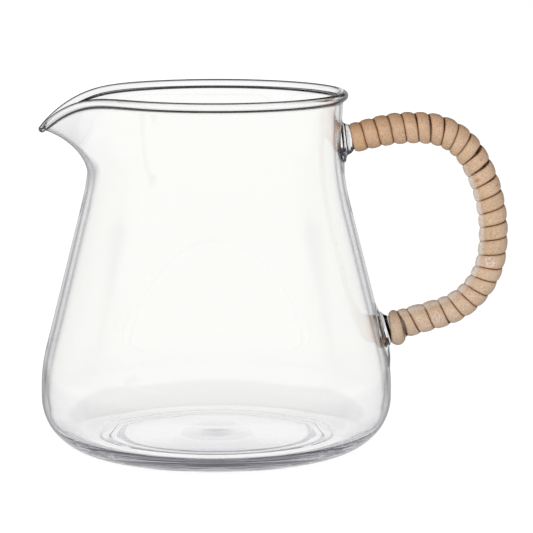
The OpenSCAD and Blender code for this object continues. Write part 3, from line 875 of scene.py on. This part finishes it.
def pale_floor():
    f = Studio(bpy.data.materials.new("pale_floor"))
    place = f.place()
    away = f.node("ShaderNodeVectorMath", {0: place}, operation="LENGTH").outputs["Value"]
    reach = f.math("DIVIDE", away, SHADE_REACH)
    shade = f.mixed(f.once, f.ramp(reach, SHADE[THIN_GLASS]), f.ramp(reach, SHADE[SOLID_GLASS]))
    behind = f.math("MULTIPLY", f.part(place, "Y"), FLOOR_BEHIND, clamp=True)
    in_glass = f.node("ShaderNodeEmission", {"Color": shade, "Strength": f.dimmed(behind)})
    plain = f.node("ShaderNodeBsdfDiffuse", {"Color": (FLOOR_LIT, FLOOR_LIT, FLOOR_LIT, 1)})
    # The camera sees a floor that is nearly white by itself and still takes the pitcher's shadow.
    matt = f.node("ShaderNodeBsdfDiffuse", {"Color": (FLOOR_GREY, FLOOR_GREY, FLOOR_GREY, 1)})
    lift = f.node("ShaderNodeEmission", {"Color": WHITE, "Strength": FLOOR_SEEN})
    seen = f.node("ShaderNodeAddShader", {0: matt.outputs[0], 1: lift.outputs[0]})
    f.node("ShaderNodeOutputMaterial", {"Surface": f.shown(plain, in_glass, seen)})
    return f.owner


def white_room():
    """White to the camera, plain pale light on the pitcher, and dark above a height where glass shows it."""
    w = Studio(bpy.data.worlds.new("studio"))
    way = w.node("ShaderNodeTexCoord").outputs["Generated"]
    back = w.math("ADD", w.times(w.part(way, "Y"), ROOM_BACK), ROOM_BACK_START, clamp=True)
    height = w.math("SUBTRACT", w.part(way, "Z"), w.times(w.math("SUBTRACT", 1.0, back), FRONT_RISE))
    height = w.math("ADD", height, w.times(w.once, SOLID_DROP))
    plain = w.node("ShaderNodeBackground", {"Color": ROOM_LIGHT, "Strength": 1.0})
    in_glass = w.node("ShaderNodeBackground", {"Color": w.ramp(height, ROOM), "Strength": w.dimmed(back)})
    seen = w.node("ShaderNodeBackground", {"Color": WHITE, "Strength": 1.0})
    w.node("ShaderNodeOutputWorld", {"Surface": w.shown(plain, in_glass, seen)})
    return w.owner


def lamp(name, place, size, watts):
    """A soft rectangular lamp turned towards the middle of the pitcher."""
    light = bpy.data.lights.new(name, "AREA")
    light.shape, light.size, light.size_y, light.energy = "RECTANGLE", size[0], size[1], watts
    obj = bpy.data.objects.new(name, light)
    bpy.context.scene.collection.objects.link(obj)
    obj.location = place
    obj.rotation_euler = (Vector(PITCHER_MIDDLE) - Vector(place)).to_track_quat("-Z", "Y").to_euler()
    obj.visible_glossy = obj.visible_transmission = False


# ---------------------------------------------------------------- the pieces in their places
glass, cane_finish = clear_glass(), split_cane()

vessel = make_vessel()
rod = make_rod()
cane = make_cane()
tail = make_tail()

for piece, surface, slot, nodes in (
        (vessel, glass, "glass", ("glass_body", "upper_root", "lower_root")),
        (rod, glass, "glass", ("handle_rod",)),
        (cane, cane_finish, "cane", ("cane_wrap",)),
        (tail, cane_finish, "cane", ("cane_tail",))):
    piece.data.materials.clear()
    piece.data.materials.append(surface)
    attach(piece, "root")
    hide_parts(*nodes)

# ---------------------------------------------------------------- floor, light and camera
bpy.ops.mesh.primitive_circle_add(vertices=96, radius=FLOOR_R, fill_type="NGON", location=(0, 0, FLOOR_Z))
floor = bpy.context.object
floor.name = "pale_floor"
floor.data.materials.append(pale_floor())

scene = bpy.context.scene
scene.world = white_room()

lamp("front_softbox", (-0.3, -1.5, 0.16), (1.1, 0.6), 17.5)
lamp("side_softbox", (-1.1, -0.3, 0.35), (0.7, 0.7), 3.0)
lamp("back_softbox", (0.35, 1.5, 0.14), (1.0, 0.5), 10.0)

EYE = (0.012912, -0.784386, 0.166877)
EYE_TILT = 81.291
LENS = 208.94
eye = bpy.data.objects.new("camera", bpy.data.cameras.new("camera"))
scene.collection.objects.link(eye)
eye.data.lens = LENS
eye.data.sensor_width = 36.0
eye.data.clip_end = 30.0
eye.location = EYE
eye.rotation_euler = (math.radians(EYE_TILT), 0, 0)
scene.camera = eye
scene.view_settings.view_transform = "Standard"
# Light passes from wall to wall of thick clear glass many times before it leaves.
scene.cycles.max_bounces = 32
scene.cycles.glossy_bounces = 20
scene.cycles.transmission_bounces = 32
